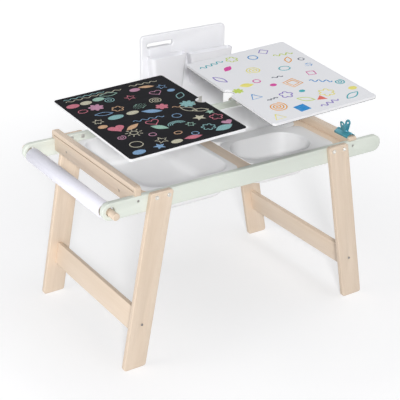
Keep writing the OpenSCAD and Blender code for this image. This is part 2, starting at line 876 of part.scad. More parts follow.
// Band of thickness t along the points of an open line
module strip(pts, t) {
    n = len(pts);
    sides = [for (h = [-t / 2, t / 2])
        [for (i = [0:n - 1])
            pts[i] + mitre(pts[max(i, 1)] - pts[max(i, 1) - 1],
                           pts[min(i, n - 2) + 1] - pts[min(i, n - 2)], h)]];
    polygon([each sides[0], for (i = [n - 1:-1:0]) sides[1][i]]);
}

function normal(d) = [d[1], -d[0]] / norm(d);
function mitre(a, b, h) = h * (normal(a) + normal(b)) / (1 + normal(a) * normal(b));

// Everything above the jaws that isn't handle, in Y and Z from the pin
module handle_waste() {
    r = handle_w / 2;
    difference() {
        translate([-clip_w, 1])
            square([2 * clip_w, handle_h + r]);
        translate([-r, 0])
            square([2 * r, handle_h - r]);
        translate([0, handle_h - r])
            circle(r);
    }
    translate([0, handle_h - r + 1.5])
        circle(handle_hole_r);
}

function knuckle_r() = pin_r + hole_gap + clip_t;

module pin_bore() {
    rod_y(clip_x, clip_z, pin_r + hole_gap / 2, clip_y - clip_w, clip_y + clip_w);
}

module clip_outer_jaw() {
    color(teal)
        difference() {
            clip_jaw(1, right_t / 2, [[-clip_w / 2, -clip_w / 2 + 8], [clip_w / 2 - 8, clip_w / 2]]);
            pin_bore();
        }
}

module clip_inner_jaw() {
    color(teal)
        difference() {
            clip_jaw(-1, right_t / 2 + seat_gap,
                     [[-clip_w / 2 + 8.5, -clip_w / 2 + 16], [clip_w / 2 - 16, clip_w / 2 - 8.5]]);
            pin_bore();
        }
}

module clip_pin() {
    color(steel)
        rod_y(clip_x, clip_z, pin_r, clip_y - clip_w / 2 - 1, clip_y + clip_w / 2 + 1);
}

module clip_spring() {
    color(steel)
        difference() {
            rod_y(clip_x, clip_z, pin_r + 0.7, clip_y - 9, clip_y + 9);
            rod_y(clip_x, clip_z, pin_r + 0.05, clip_y - 10, clip_y + 10);
        }
}

// ---- Fasteners ----

module leg_bolts() {
    color(steel)
        for (s = [-1, 1])
            for (b = [-1, 1])
                for (side = [-1, 1])
                    bolt(s * leg_x + b * bolt_pitch / 2, side);
}

// Bolt with a socket in its head, through leg, rail and sleeve nut
module bolt(x, side) {
    rod_y(x, bolt_z, bolt_r, side * leg_out, side * (rail_in + 1));
    difference() {
        rod_y(x, bolt_z, bolt_head_r, side * leg_out, side * (leg_out + bolt_head_h));
        translate([x, side * (leg_out + bolt_head_h), bolt_z])
            rotate([90, 0, 0])
                cylinder(r = 0.5 * bolt_head_r, h = bolt_head_h, center = true, $fn = 6);
    }
}

module leg_nuts() {
    color(steel)
        for (s = [-1, 1])
            for (b = [-1, 1])
                for (side = [-1, 1])
                    nut(s * leg_x + b * bolt_pitch / 2, side);
}

module nut(x, side) {
    difference() {
        union() {
            rod_y(x, bolt_z, nut_r, side * (rail_in - nut_t), side * rail_in);
            rod_y(x, bolt_z, sleeve_r(), side * (rail_in - nut_t), side * (rail_in + sleeve_l - 0.5));
        }
        rod_y(x, bolt_z, bolt_r + hole_gap, side * rail_in, side * (rail_in + sleeve_l + cut));
    }
}

module stretcher_screws() {
    color(steel)
        for (s = [-1, 1])
            for (side = [-1, 1])
                screw(s * leg_mid(stretcher_screw_z), stretcher_screw_z, side * leg_out, -side,
                      leg_t + screw_bite);
}

module board_screws() {
    color(steel)
        for (x = [board_left_x, board_right_x])
            for (side = [-1, 1])
                screw(x, rail_top - board_screw_drop, side * (rail_out - sink_d), -side,
                      rail_t - sink_d + screw_bite);
}

module ledge_screws() {
    color(steel)
        for (side = [-1, 1]) {
            screw_x(-left_in - left_t + sink_d, 1, side * ledge_screw_y, left_t - sink_d + ledge_bite);
            screw_x(right_in + right_t - sink_d, -1, side * ledge_screw_y, right_t - sink_d + ledge_bite);
        }
}

// Screw along X whose head stands on the face at x0; it points to side s
module screw_x(x0, s, y, l) {
    translate([x0, y, bar_z])
        rotate([0, 0, s > 0 ? -90 : 90])
            screw(0, 0, 0, 1, l);
}

module crossbar_pegs() {
    color(birch)
        for (x = peg_x())
            for (side = [-1, 1])
                rod_y(x, bar_z, peg_r, side * (rail_in - peg_in + 0.5), side * (rail_in + peg_out - 0.5));
}

rail_front();
rail_back();
leg_front_left();
leg_front_right();
leg_back_left();
leg_back_right();
stretcher_left();
stretcher_right();
end_board_left();
end_board_right();
ledge_left();
ledge_right();
crossbar();
bin_left();
bin_front_right();
bin_back_right();
lid_left_core();
lid_left_chalk_sheet();
lid_left_white_sheet();
lid_right_core();
lid_right_white_sheet();
lid_right_chalk_sheet();
roll_paper();
roll_core();
roll_rod();
storage_panel();
panel_hooks();
hook_screws();
storage_cup();
storage_box();
clip_outer_jaw();
clip_inner_jaw();
clip_pin();
clip_spring();
leg_bolts();
leg_nuts();
stretcher_screws();
board_screws();
ledge_screws();
crossbar_pegs();
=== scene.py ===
import math

import bmesh
import bpy
from mathutils import Matrix, Vector


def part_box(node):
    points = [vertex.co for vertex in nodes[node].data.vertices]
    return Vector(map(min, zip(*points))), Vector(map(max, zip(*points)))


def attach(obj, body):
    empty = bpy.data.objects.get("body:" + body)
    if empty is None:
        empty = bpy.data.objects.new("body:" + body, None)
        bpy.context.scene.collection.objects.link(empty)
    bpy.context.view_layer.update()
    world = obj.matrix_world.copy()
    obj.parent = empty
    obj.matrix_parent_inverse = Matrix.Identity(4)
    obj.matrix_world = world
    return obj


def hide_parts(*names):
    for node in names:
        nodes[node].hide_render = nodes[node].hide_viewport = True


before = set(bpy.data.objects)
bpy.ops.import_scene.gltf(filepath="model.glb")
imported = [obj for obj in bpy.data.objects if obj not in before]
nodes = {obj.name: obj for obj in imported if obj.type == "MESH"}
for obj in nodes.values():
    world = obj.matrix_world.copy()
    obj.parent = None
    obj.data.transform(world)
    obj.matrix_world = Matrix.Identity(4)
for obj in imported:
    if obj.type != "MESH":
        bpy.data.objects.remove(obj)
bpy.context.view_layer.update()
scene = bpy.context.scene

# ---- View -------------------------------------------------------------------
# The table stands on the floor and is seen from its front left, a little from
# above, with a long lens. Everything is in metres on the axes of the model.
CAMERA_AT = Vector((-1.7643, -2.6707, 1.8433))
LOOKS_AT = Vector((-0.0077, 0.00506, 0.3375))
CAMERA_ROLL = 0.011
CAMERA_LENS = 99.45
FILM_WIDTH = 36.0
NEAREST_SEEN = 0.05

forward = (LOOKS_AT - CAMERA_AT).normalized()
right = forward.cross(Vector((0, 0, 1))).normalized()
up = right.cross(forward)
c, s = math.cos(CAMERA_ROLL), math.sin(CAMERA_ROLL)
right, up = c * right + s * up, c * up - s * right
camera = bpy.data.objects.new("camera", bpy.data.cameras.new("camera"))
scene.collection.objects.link(camera)
turned = Matrix((right, up, -forward)).transposed().to_4x4()
turned.translation = CAMERA_AT
camera.matrix_world = turned
camera.data.lens = CAMERA_LENS
camera.data.sensor_width = FILM_WIDTH
camera.data.clip_start = NEAREST_SEEN
scene.camera = camera

# ---- Studio -----------------------------------------------------------------
# A pale floor that runs out into a white world, and three lamps: a key above
# the camera, a low soft one from the left and one overhead. The floor also
# glows onto the table, a painted light from below in place of what a white
# sweep throws back. The camera and reflections see floor and world brighter
# than they light the table.
WORLD_LIGHT = (0.95, 0.97, 1.0)
WORLD_STRENGTH = 0.14
FLOOR_COLOUR = (0.50, 0.50, 0.51)
FLOOR_GLOW = 0.53
FLOOR_GLOW_FAR = 0.85
# How strongly the floor glows onto the table, a painted light from below
FLOOR_GLOW_ON_TABLE = 0.34
# Distances from the table between which the floor's glow rises, near and far
NEAR_RISE = (0.7, 2.6)
FAR_RISE = (2.8, 6.0)
FLOOR_REACH = 9.0
LAMPS_AIM = Vector((0.0, 0.0, 0.45))
# Each lamp: place, power in watts, side of its square
LAMPS = {
    "key": ((-3.4, -5.9, 3.4), 368.0, 0.8),
    "side": ((-2.1, 0.1, 0.5), 13.0, 0.9),
    "overhead": ((0.8, -0.6, 5.4), 102.0, 3.6),
}

# Noise keeps mostly within this span
NOISE_SPAN = (0.3, 0.7)

scene.view_settings.view_transform = "Standard"


class Wire:
    """A socket of a material's nodes that can take part in a sum."""

    def __init__(self, socket):
        self.socket = socket

    def node(self, kind, settings, values, out=0):
        """Adds a node of that kind and gives one of its outputs."""
        tree = self.socket.id_data
        made = tree.nodes.new(kind)
        for key, value in settings.items():
            setattr(made, key, value)
        for key, value in values.items():
            if isinstance(value, Wire):
                tree.links.new(value.socket, made.inputs[key])
            elif isinstance(value, (tuple, list)) and made.inputs[key].type == "RGBA":
                made.inputs[key].default_value = (*value, 1.0)
            else:
                made.inputs[key].default_value = value
        return Wire(made.outputs[out])

    def maths(self, operation, a, b):
        return self.node("ShaderNodeMath", {"operation": operation}, {0: a, 1: b})

    def __add__(self, other):
        return self.maths("ADD", self, other)

    __radd__ = __add__

    def __mul__(self, other):
        return self.maths("MULTIPLY", self, other)

    __rmul__ = __mul__

    def __sub__(self, other):
        return self.maths("SUBTRACT", self, other)

    def __rsub__(self, other):
        return self.maths("SUBTRACT", other, self)

    def along(self, direction):
        """How far a place lies along a direction."""
        return self.node("ShaderNodeVectorMath", {"operation": "DOT_PRODUCT"},
                         {0: self, 1: tuple(direction)}, out="Value")

    def stretched(self, turn, scale):
        """A place turned by an angle about Z and scaled along each axis."""
        return self.node("ShaderNodeMapping", {},
                         {"Vector": self, "Rotation": (0, 0, turn), "Scale": scale})

    def noise(self, scale, detail=3.0, roughness=0.5):
        return self.node("ShaderNodeTexNoise", {},
                         {"Vector": self, "Scale": scale, "Detail": detail,
                          "Roughness": roughness})

    def between(self, low, high):
        """0 below low, 1 above high, and evenly rising between them."""
        return self.node("ShaderNodeMapRange", {},
                         {"Value": self, "From Min": low, "From Max": high})

    def blend(self, a, b):
        """Colour a where this is 0 and colour b where it is 1."""
        return self.node("ShaderNodeMix", {"data_type": "RGBA"},
                         {"Factor": self, 6: a, 7: b}, out=2)

    def mottled(self, scale, a, b, detail=3.0):
        """A colour that wanders from a to b, in finer spots with a greater scale."""
        return self.noise(scale, detail).between(*NOISE_SPAN).blend(a, b)

    def relief(self, depth, strength):
        """Normals of a surface that this raises by depth in metres."""
        return self.node("ShaderNodeBump", {},
                         {"Height": self, "Distance": depth, "Strength": strength},
                         out="Normal")


def new_finish(name):
    """A material, its shader and the place on the object as a Wire."""
    material = bpy.data.materials.new(name)
    material.use_nodes = True
    shader = material.node_tree.nodes["Principled BSDF"]
    place = material.node_tree.nodes.new("ShaderNodeTexCoord")
    return material, shader, Wire(place.outputs["Object"])


def set_shader(shader, **values):
    """Sets sockets of a shader, named with _ for a space, to values or Wires."""
    for key, value in values.items():
        socket = shader.inputs[key.replace("_", " ")]
        if isinstance(value, Wire):
            shader.id_data.links.new(value.socket, socket)
        elif socket.type == "RGBA":
            socket.default_value = (*value, 1.0)
        else:
            socket.default_value = value


def new_piece(name, mesh):
    piece = bpy.data.objects.new(name, mesh)
    scene.collection.objects.link(piece)
    return piece


def background_rays(tree):
    """1 on rays of the camera and on those that metal and glass turn, else 0."""
    path = tree.nodes.new("ShaderNodeLightPath")
    camera_ray, glossy_ray, glass_ray = (
        Wire(path.outputs[f"Is {kind} Ray"]) for kind in ("Camera", "Glossy", "Transmission"))
    return (camera_ray + glossy_ray + glass_ray).between(0.0, 1.0)


world = bpy.data.worlds.new("studio")
scene.world = world
world.use_nodes = True
backdrop = world.node_tree.nodes["Background"]
is_background = background_rays(world.node_tree)
seen = is_background.blend(tuple(WORLD_STRENGTH * v for v in WORLD_LIGHT), (1.0, 1.0, 1.0))
world.node_tree.links.new(seen.socket, backdrop.inputs["Color"])

for name, (at, power, side) in LAMPS.items():
    lamp = bpy.data.lights.new(name, "AREA")
    lamp.shape = "SQUARE"
    lamp.size = side
    lamp.energy = power
    holder = bpy.data.objects.new(name, lamp)
    scene.collection.objects.link(holder)
    holder.visible_camera = False
    holder.location = at
    holder.rotation_euler = (LAMPS_AIM - Vector(at)).to_track_quat("-Z", "Y").to_euler()

floor_finish, floor_shader, place = new_finish("studio_floor")
tree = floor_finish.node_tree
is_background = background_rays(tree)
distance = place.node("ShaderNodeVectorMath", {"operation": "LENGTH"}, {0: place}, out="Value")
glow = (FLOOR_GLOW + (FLOOR_GLOW_FAR - FLOOR_GLOW) * distance.between(*NEAR_RISE)
        + (1.0 - FLOOR_GLOW_FAR) * distance.between(*FAR_RISE))
# The floor's emission glows onto the table as painted light from below, and gives the camera the brighter
# floor
set_shader(floor_shader, Base_Color=FLOOR_COLOUR, Roughness=0.9, Specular_IOR_Level=0.0,
           Emission_Color=(FLOOR_GLOW_ON_TABLE + is_background * (glow - FLOOR_GLOW_ON_TABLE)).blend(
               (0.0, 0.0, 0.0), (1.0, 1.0, 1.0)),
           Emission_Strength=1.0)
mesh = bpy.data.meshes.new("floor")
mesh.from_pydata([(x * FLOOR_REACH, y * FLOOR_REACH, 0)
                  for x, y in ((-1, -1), (1, -1), (1, 1), (-1, 1))], [], [(0, 1, 2, 3)])
mesh.materials.append(floor_finish)
floor = new_piece("floor", mesh)

# ---- Rails ------------------------------------------------------------------
# Two side rails of board with half round ends, sprayed in a matte pale sage.
# Their edges are eased by a small cutter, and the legs are bolted against them.
RAIL_EASE = 0.0022
# Above these angles between its faces an edge is eased, and afterwards shaded sharp
EASED_ANGLE = math.radians(40.0)
SHARP_ANGLE = math.radians(32.0)
# Faces within this angle are taken as one, and points within this distance
FLAT_ANGLE = math.radians(1.0)
WELD = 1e-5
SAGE = (0.716, 0.755, 0.690)
SAGE_DEEP = (0.675, 0.718, 0.648)


def eased(node, name, radius, finish, steps=3):
    """A copy of a node's solid with its sharp edges rounded, in its place."""
    mesh = nodes[node].data.copy()
    mesh.name = name
    mesh.materials.clear()
    mesh.materials.append(finish)
    work = bmesh.new()
    work.from_mesh(mesh)
    bmesh.ops.remove_doubles(work, verts=work.verts, dist=WELD)
    bmesh.ops.dissolve_limit(work, angle_limit=FLAT_ANGLE, verts=work.verts, edges=work.edges)
    work.to_mesh(mesh)
    work.free()
    for layer in list(mesh.attributes):
        if layer.name in ("custom_normal", "sharp_face"):
            mesh.attributes.remove(layer)
    piece = new_piece(name, mesh)
    bevel = piece.modifiers.new("eased", "BEVEL")
    bevel.width = radius
    bevel.segments = steps
    bevel.limit_method = "ANGLE"
    bevel.angle_limit = EASED_ANGLE
    bevel.use_clamp_overlap = False
    bevel.loop_slide = False
    plain = bpy.data.meshes.new_from_object(
        piece.evaluated_get(bpy.context.evaluated_depsgraph_get()))
    piece.modifiers.clear()
    piece.data = plain
    for face in plain.polygons:
        face.use_smooth = True
        face.material_index = 0
    plain.set_sharp_from_angle(angle=SHARP_ANGLE)
    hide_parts(node)
    return piece


sage_paint, shader, place = new_finish("sage_paint")
set_shader(shader, Base_Color=place.mottled(5.0, SAGE_DEEP, SAGE, 4.0),
           Roughness=0.46 + 0.1 * place.noise(14.0),
           Normal=place.noise(420.0, 2.0).relief(0.00012, 0.5))
for node in ("rail_front", "rail_back"):
    rail = eased(node, node + "_painted", RAIL_EASE, sage_paint)
    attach(rail, "table")

# ---- Legs, stretchers, boards, ledges, crossbar ------------------------------
# Birch multi-layer board under a clear satin lacquer: pale faces with a faint
# grain along each plank, and thin dark glue lines where an edge is cut.
BIRCH_PALE = (0.765, 0.636, 0.512)
BIRCH_DEEP = (0.690, 0.555, 0.428)
BIRCH_FLECK = (0.540, 0.390, 0.255)
GLUE_LINE = (0.330, 0.215, 0.130)
PLY = 0.0015
GLUE_SHARE = 0.2
# Planks are cut from places this far apart in the grain, seven before it repeats
GRAIN_STEP = 0.37
GRAIN_PLACES = 7
LEG_LEAN = math.radians(10.3)
WOOD_EASE = 0.0024


def birch(node, grain, through, layered=True):
    """Lacquered birch for a node: grain along it, glue lines square to through."""
    finish, shader, place = new_finish("birch_" + node)
    grain, through = Vector(grain).normalized(), Vector(through).normalized()
    side = grain.cross(through)
    depths = [through.dot(v.co) for v in nodes[node].data.vertices]
    thick = max(depths) - min(depths)
    apart = GRAIN_STEP * (sorted(nodes).index(node) % GRAIN_PLACES)
    run, depth, width = place.along(grain) + apart, place.along(through), place.along(side)

    def drawn_out(along_grain, across_grain):
        return run.node("ShaderNodeCombineXYZ", {}, {
            "X": along_grain * run, "Y": across_grain * width, "Z": across_grain * depth})

    tone = drawn_out(1.3, 15.0).noise(1.0, 4.0, 0.6).between(0.34, 0.68)
    fine = drawn_out(9.0, 260.0).noise(1.0, 3.0, 0.6)
    colour = (0.7 * tone + 0.35 * fine.between(0.35, 0.65) - 0.02).blend(BIRCH_DEEP, BIRCH_PALE)
    colour = (0.16 * drawn_out(60.0, 600.0).noise(1.0, 1.0).between(0.66, 0.74)).blend(
        colour, BIRCH_FLECK)
    if layered:
        plies = 2 * round(thick / PLY / 2) + 1
        ply = (depth - min(depths)) * (plies / thick)
        off = ply.maths("PINGPONG", ply, 0.5)
        inside = ply.between(0.5, 0.6) * (1.0 - ply.between(plies - 0.6, plies - 0.5))
        line = inside * (1.0 - off.between(0.2 * GLUE_SHARE, GLUE_SHARE))
        colour = (0.5 * line).blend(colour, GLUE_LINE)
    set_shader(shader, Base_Color=colour, Roughness=0.36 + 0.16 * fine,
               Normal=fine.relief(0.00016, 0.5), Coat_Weight=0.12, Coat_Roughness=0.3)
    return finish


lean = {s: (s * math.sin(LEG_LEAN), 0, -math.cos(LEG_LEAN)) for s in (-1, 1)}
square_to = {s: (math.cos(LEG_LEAN), 0, s * math.sin(LEG_LEAN)) for s in (-1, 1)}
X_AXIS, Y_AXIS, Z_AXIS = (1, 0, 0), (0, 1, 0), (0, 0, 1)
# Each wooden node: the way of its grain, the way through its layers, its eased radius
PLANKS = {
    "leg_front_left": (lean[-1], Y_AXIS, WOOD_EASE), "leg_back_left": (lean[-1], Y_AXIS, WOOD_EASE),
    "leg_front_right": (lean[1], Y_AXIS, WOOD_EASE), "leg_back_right": (lean[1], Y_AXIS, WOOD_EASE),
    "stretcher_left": (Y_AXIS, square_to[-1], 0.0015),
    "stretcher_right": (Y_AXIS, square_to[1], 0.0015),
    "end_board_left": (Y_AXIS, X_AXIS, 0.0008), "end_board_right": (Y_AXIS, X_AXIS, 0.0030),
    "ledge_left": (Y_AXIS, Z_AXIS, 0.0012), "ledge_right": (Y_AXIS, Z_AXIS, 0.0012),
    "crossbar": (Y_AXIS, Z_AXIS, 0.0014),
}
for node, (grain, through, radius) in PLANKS.items():
    plank = eased(node, node + "_birch", radius, birch(node, grain, through))
    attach(plank, "table")
nodes["crossbar_pegs"].material_slots[0].material = birch("crossbar_pegs", Y_AXIS, Z_AXIS, False)

# ---- Bins -------------------------------------------------------------------
# Three moulded bins of glossy white plastic that hang by their flat rims on the
# ledges and the crossbar. Their walls lean in downwards and run into the floor
# in one soft bend.
FLOOR_BEND = 0.028
WALL_LEAN = 0.016
LIP_BEND = 0.0032
RIM_EDGE = 0.0011
BIN_WALL = 0.0022
BIN_RIM = 0.0025
RIM_CORNER = 0.030
UNDER_RIM = 0.002
# Towards the floor's middle the rings shrink to this half width and corner
FLOOR_MIDDLE = 0.006
LEAST_CORNER = 0.004
CORNER_STEPS = 14
SKIN_WELD = 1e-6
SKIN_SHARP_ANGLE = math.radians(50.0)
# Each bin's well: its left, right, front and back side, and its corners' radius
WELLS = {
    "bin_left": (-0.3325, -0.038, -0.222, 0.200, 0.058),
    "bin_front_right": (0.0271, 0.291, -0.217, -0.053, 0.078),
    "bin_back_right": (0.0271, 0.3275, 0.0, 0.200, 0.058),
}


def soft_square(x0, x1, y0, y1, r):
    """Points round a rectangle with round corners, counted the same for any."""
    ring = []
    for q, (sx, sy) in enumerate(((1, 1), (-1, 1), (-1, -1), (1, -1))):
        cx = x1 - r if sx > 0 else x0 + r
        cy = y1 - r if sy > 0 else y0 + r
        for i in range(CORNER_STEPS + 1):
            a = math.radians(90 * (q + i / CORNER_STEPS))
            ring.append((cx + r * math.cos(a), cy + r * math.sin(a)))
    return ring


def lofted(name, rings, finish, caps=True):
    """A skin over rings of points, each as long as the last, closed at its ends."""
    work = bmesh.new()
    rows = [[work.verts.new(p) for p in ring] for ring in rings]
    n = len(rows[0])
    for a, b in zip(rows, rows[1:]):
        for i in range(n):
            work.faces.new((a[i], a[(i + 1) % n], b[(i + 1) % n], b[i]))
    if caps:
        work.faces.new(rows[0][::-1])
        work.faces.new(rows[-1])
    else:
        for i in range(n):
            work.faces.new((rows[-1][i], rows[-1][(i + 1) % n], rows[0][(i + 1) % n], rows[0][i]))
    bmesh.ops.remove_doubles(work, verts=work.verts, dist=SKIN_WELD)
    bmesh.ops.recalc_face_normals(work, faces=work.faces)
    mesh = bpy.data.meshes.new(name)
    work.to_mesh(mesh)
    work.free()
    for face in mesh.polygons:
        face.use_smooth = True
    mesh.set_sharp_from_angle(angle=SKIN_SHARP_ANGLE)
    mesh.materials.append(finish)
    return new_piece(name, mesh)


def bend(r, start, end, steps=6):
    """(sideways, down) along a quarter bend of radius r, from one angle to another."""
    return [(r * math.cos(math.radians(start + (end - start) * i / steps)),
             r * math.sin(math.radians(start + (end - start) * i / steps)))
            for i in range(steps + 1)]


def bin_rings(node, x0, x1, y0, y1, corner):
    """Rings from the middle of a bin's floor over its rim to the middle below."""
    low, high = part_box(node)
    top, floor_z = high.z, low.z

    def ring(inset, z):
        inset += WALL_LEAN * (top - z) / (top - floor_z)
        return [(x, y, z) for x, y in soft_square(x0 + inset, x1 - inset, y0 + inset, y1 - inset,
                                                  max(corner - inset, LEAST_CORNER))]

    def edge(inset, z):
        return [(x, y, z) for x, y in soft_square(low.x + inset, high.x - inset, low.y + inset,
                                                  high.y - inset, RIM_CORNER - inset)]

    middle = min(x1 - x0, y1 - y0) / 2 - WALL_LEAN - FLOOR_MIDDLE
    rings = [ring(middle, floor_z + BIN_WALL)]
    for side, down in bend(FLOOR_BEND, 270, 180):
        rings.append(ring(FLOOR_BEND + side, floor_z + BIN_WALL + FLOOR_BEND + down))
    for side, down in bend(LIP_BEND, 0, 90):
        rings.append(ring(-LIP_BEND + side, top - LIP_BEND + down))
    for side, down in bend(RIM_EDGE, 90, -90):
        rings.append(edge(RIM_EDGE - side, top - RIM_EDGE + down))
    rings.append(edge(RIM_EDGE, top - BIN_RIM))
    rings.append(ring(-BIN_WALL - UNDER_RIM, top - BIN_RIM))
    rings.append(ring(-BIN_WALL, top - BIN_RIM - UNDER_RIM))
    outer = FLOOR_BEND + BIN_WALL
    for side, down in bend(outer, 180, 270):
        rings.append(ring(outer + side - BIN_WALL, floor_z + outer + down))
    return rings + [ring(middle, floor_z)]


bin_white, shader, place = new_finish("bin_white")
set_shader(shader, Base_Color=place.mottled(4.0, (0.845, 0.845, 0.850), (0.875, 0.875, 0.880)),
           Roughness=0.27 + 0.03 * place.noise(7.0, 2.0),
           Normal=place.noise(260.0, 2.0).relief(0.00006, 0.4))
for node, well in WELLS.items():
    piece = lofted(node + "_moulded", bin_rings(node, *well), bin_white)
    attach(piece, "table")
    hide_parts(node)

# ---- Lids -------------------------------------------------------------------
# Each lid is a white core board with a blackboard sheet on one side and a
# dry-wipe sheet on the other. They lift off by the half round notch.
chalk_black, shader, place = new_finish("chalk_black")
dust = place.noise(11.0, 6.0, 0.7).between(0.45, 0.85)
wiped = place.stretched(0.6, (6.0, 60.0, 6.0)).noise(1.0, 4.0, 0.7)
set_shader(shader,
           Base_Color=(0.5 * dust + 0.3 * wiped.between(0.5, 0.8)).blend((0.006, 0.006, 0.008),
                                                                        (0.028, 0.028, 0.032)),
           Roughness=0.66 + 0.2 * dust, Normal=place.noise(900.0, 2.0).relief(0.00008, 0.6),
           Specular_IOR_Level=0.06)

wipe_white, shader, place = new_finish("wipe_white")
set_shader(shader, Base_Color=place.mottled(3.0, (0.790, 0.795, 0.825), (0.815, 0.820, 0.850)),
           Roughness=0.34 + 0.04 * place.noise(12.0, 2.0), Specular_IOR_Level=0.4,
           Normal=place.noise(420.0, 2.0).relief(0.00003, 0.4))

core_white, shader, place = new_finish("core_white")
set_shader(shader, Base_Color=place.mottled(240.0, (0.74, 0.74, 0.75), (0.81, 0.81, 0.82)),
           Roughness=0.7, Normal=place.noise(700.0, 2.0).relief(0.0001, 0.6))
for layer, finish in (("core", core_white), ("chalk_sheet", chalk_black),
                      ("white_sheet", wipe_white)):
    for side in ("left", "right"):
        nodes[f"lid_{side}_{layer}"].material_slots[0].material = finish

# ---- Drawings ---------------------------------------------------------------
# Plain childlike chalk marks on the black sheet and crayon marks on the white
# one: rounds, leaves, flowers, waves, spirals and plain figures, each a thin
# raised stroke or patch that lies on its lid.
STROKE_LIFT = 0.00025
STROKE_SIDES = 6
# A face of a lid is its top where its normal rises more than this
FACES_UP = 0.9
CHALKS = {"aqua": (0.30, 0.55, 0.56), "rose": (0.70, 0.22, 0.29), "cream": (0.66, 0.63, 0.49),
          "sky": (0.26, 0.44, 0.68), "pink": (0.62, 0.32, 0.46), "peach": (0.72, 0.45, 0.28),
          "mint": (0.38, 0.62, 0.52)}
CRAYONS = {"blue": (0.02, 0.26, 0.62), "orange": (0.85, 0.36, 0.04), "yellow": (0.83, 0.76, 0.20),
           "violet": (0.25, 0.18, 0.55), "magenta": (0.68, 0.07, 0.35), "teal": (0.05, 0.42, 0.48),
           "lime": (0.55, 0.68, 0.12), "slate": (0.12, 0.14, 0.18), "coral": (0.74, 0.16, 0.13)}


def stick_finish(name, colour, under, cover):
    """Chalk or crayon rubbed on a sheet, with specks of the sheet left open."""
    finish, shader, place = new_finish(name)
    specks = place.noise(900.0, 3.0, 0.7).between(cover - 0.12, cover + 0.06)
    streak = place.stretched(0.9, (60.0, 520.0, 60.0)).noise(1.0, 2.0)
    open_share = 0.6 * specks + 0.25 * streak.between(0.55, 0.75)
    set_shader(shader, Base_Color=open_share.blend(colour, under), Roughness=0.8,
               Specular_IOR_Level=0.2, Normal=specks.relief(0.0001, 0.5))
    return finish


def lid_frame(node):
    """The middle of a lid's top, and its directions to the right, back and up."""
    mesh = nodes[node].data
    top = max(mesh.polygons, key=lambda face: face.area * (face.normal.z > FACES_UP))
    normal = top.normal.normalized()
    low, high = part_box(node)
    level = max(v.co.dot(normal) for v in mesh.vertices)
    middle = (low + high) / 2
    middle += normal * (level - middle.dot(normal))
    across = Vector((1, 0, 0)) - normal * normal.x
    return middle, across.normalized(), normal.cross(across.normalized()), normal


# Each figure below is a list of lines, and a line is a list of (x, y), as arc
# gives it. Figures are in millimetres, and their angles in degrees.
def arc(cx, cy, rx, ry, a0, a1, n=24):
    return [(cx + rx * math.cos(math.radians(a0 + (a1 - a0) * i / n)),
             cy + ry * math.sin(math.radians(a0 + (a1 - a0) * i / n))) for i in range(n + 1)]


def round_line(cx, cy, r, tilt=1.0):
    return [arc(cx, cy, r, r * tilt, 0, 350)]


def heart(cx, cy, r):
    """The usual curve of a heart, a sum of sines and cosines."""
    out = []
    for i in range(33):
        t = math.radians(360 * i / 32)
        out.append((cx + r * math.sin(t) ** 3,
                    cy + r * (13 * math.cos(t) - 5 * math.cos(2 * t) - 2 * math.cos(3 * t)
                              - math.cos(4 * t)) / 16))
    return [out]


def polygon(cx, cy, r, corners, start=90):
    return [arc(cx, cy, r, r, start, start + 360, corners)]


def star(cx, cy, r, points=5, deep=0.45):
    out = []
    for i in range(2 * points + 1):
        a = math.radians(90 + 180 * i / points)
        q = r * (deep if i % 2 else 1.0)
        out.append((cx + q * math.cos(a), cy + q * math.sin(a)))
    return [out]


def flower(cx, cy, r, petals=6):
    out = []
    for i in range(97):
        a = math.radians(360 * i / 96)
        q = r * (0.62 + 0.38 * abs(math.cos(petals * a / 2)))
        out.append((cx + q * math.cos(a), cy + q * math.sin(a)))
    return [out]


def leaf(cx, cy, length, width, turn):
    c, s = math.cos(math.radians(turn)), math.sin(math.radians(turn))
    half = [(length * (i / 12 - 0.5), width / 2 * math.sin(math.pi * i / 12)) for i in range(13)]
    shape = half + [(x, -y) for x, y in reversed(half[:-1])]
    return [[(cx + c * x - s * y, cy + s * x + c * y) for x, y in shape]]


def wave(x0, y0, x1, y1, high, humps):
    n = 10 * humps
    length = math.hypot(x1 - x0, y1 - y0)
    ux, uy = (x1 - x0) / length, (y1 - y0) / length
    out = []
    for i in range(n + 1):
        d, h = length * i / n, high * math.sin(2 * math.pi * humps * i / n)
        out.append((x0 + ux * d - uy * h, y0 + uy * d + ux * h))
    return [out]


def spiral(cx, cy, r, turns):
    n = int(24 * turns)
    return [[(cx + r * i / n * math.cos(2 * math.pi * i / 24),
              cy + r * i / n * math.sin(2 * math.pi * i / 24)) for i in range(2, n + 1)]]


def rays(cx, cy, r0, r1, count):
    return [[(cx + r0 * math.cos(a), cy + r0 * math.sin(a)),
             (cx + r1 * math.cos(a), cy + r1 * math.sin(a))]
            for a in (math.radians(360 * i / count) for i in range(count))]


def hatch(cx, cy, w, h, rows, turn=20):
    """A to-and-fro scribble that fills an oval."""
    c, s = math.cos(math.radians(turn)), math.sin(math.radians(turn))
    out = []
    for i in range(rows + 1):
        y = h * (i / rows - 0.5)
        x = w / 2 * math.sqrt(max(0.05, 1 - (2 * y / h) ** 2)) * (1 if i % 2 else -1)
        out.append((cx + c * x - s * y, cy + s * x + c * y))
    return [out]


def new_tree(name, result, **inputs):
    """A Geometry Nodes tree with inputs of the given kinds and one shape as result."""
    tree = bpy.data.node_groups.new(name, "GeometryNodeTree")
    for label, kind in inputs.items():
        tree.interface.new_socket(label, in_out="INPUT", socket_type="NodeSocket" + kind)
    tree.interface.new_socket(result, in_out="OUTPUT", socket_type="NodeSocketGeometry")
    return tree


def swept(tree, curve, radius, sides):
    """A round tube with closed ends along a curve of a tree."""
    profile = tree.nodes.new("GeometryNodeCurvePrimitiveCircle")
    tube = tree.nodes.new("GeometryNodeCurveToMesh")
    profile.inputs["Resolution"].default_value = sides
    tube.inputs["Fill Caps"].default_value = True
    tree.links.new(radius, profile.inputs["Radius"])
    tree.links.new(curve, tube.inputs["Curve"])
    tree.links.new(profile.outputs[0], tube.inputs["Profile Curve"])
    return tube.outputs[0]


